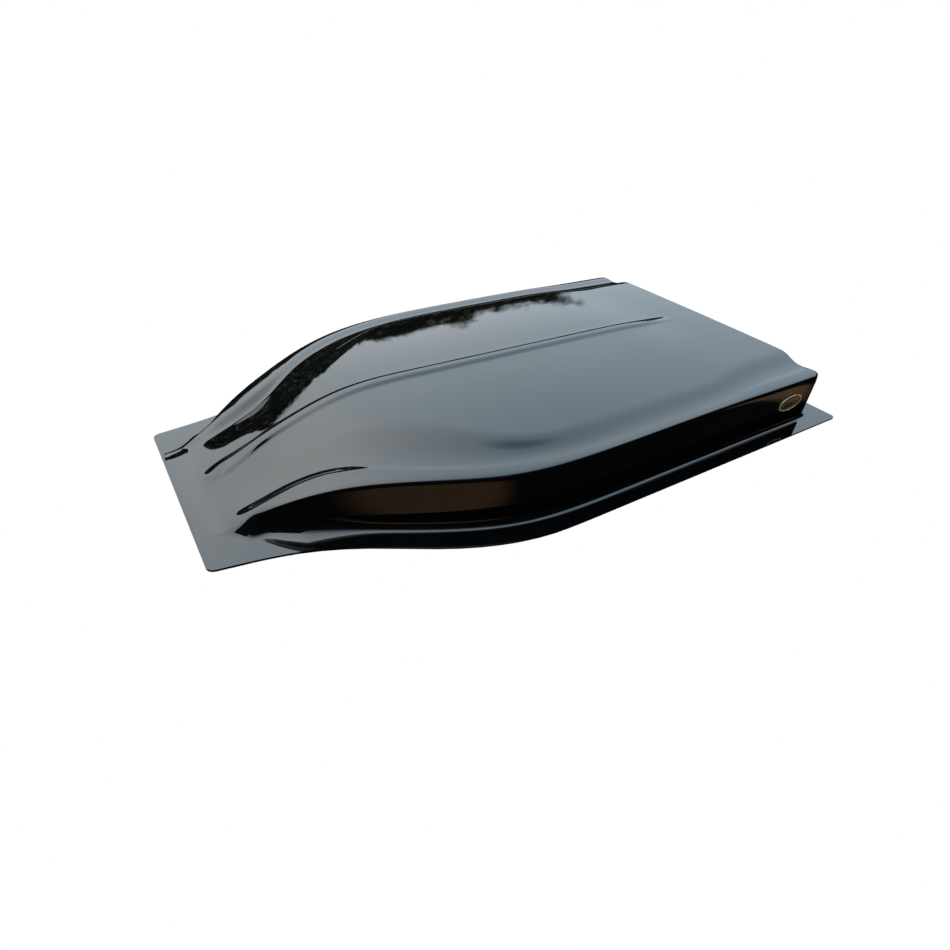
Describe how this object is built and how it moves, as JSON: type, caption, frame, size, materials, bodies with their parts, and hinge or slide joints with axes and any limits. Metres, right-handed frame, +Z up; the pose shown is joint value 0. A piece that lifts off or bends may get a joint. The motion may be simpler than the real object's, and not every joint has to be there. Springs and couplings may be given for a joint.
{
  "type": "roof vent cover",
  "caption": "Low, flared scoop-shaped cover bonded over a roof vent, with side ridges, a centre rib and a hinged, screened louvre outlet across its rear.",
  "frame": {"origin": "roof plane under the middle of the cover's length and width", "axes": "+Z up from the roof, -Y towards the low front end, +Y towards the outlet, +X towards the badge side"},
  "size_m": [0.588, 1, 0.1026],
  "materials": {
    "gloss_black_abs": "high-gloss thermoformed sheet",
    "bonding_foam": "closed-cell foam tape",
    "badge_foam": "closed-cell foam tape",
    "badge_metal": "pale gold anodised",
    "badge_resin": "clear domed resin",
    "satin_black_abs": "lightly textured moulding",
    "stainless": "turned",
    "magnet_nickel": "nickel plated",
    "screen_mesh": "woven wire",
    "spline_rubber": "ribbed cord"
  },
  "bodies": {
    "cover": {"cover_shell": "gloss_black_abs", "front_seal": "bonding_foam", "left_seal": "bonding_foam", "right_seal": "bonding_foam", "rear_seals": "bonding_foam", "badge_pad": "badge_foam", "badge_plate": "badge_metal", "badge_dome": "badge_resin", "outlet_frame": "satin_black_abs", "frame_gasket": "bonding_foam", "frame_screws": "stainless", "frame_washers": "stainless", "frame_nuts": "stainless", "frame_magnets": "magnet_nickel", "hinge_pins": "stainless"},
    "grille": {"grille_frame": "satin_black_abs", "louvre_vanes": "satin_black_abs", "insect_screen": "screen_mesh", "screen_spline": "spline_rubber", "grille_magnets": "magnet_nickel"}
  },
  "joints": [
    {"name": "grille_hinge", "type": "hinge", "parent": "cover", "child": "grille", "pos_m": [0, 0.465, 0.063], "axis": [1, 0, 0], "range_deg": [0, 80]}
  ]
}
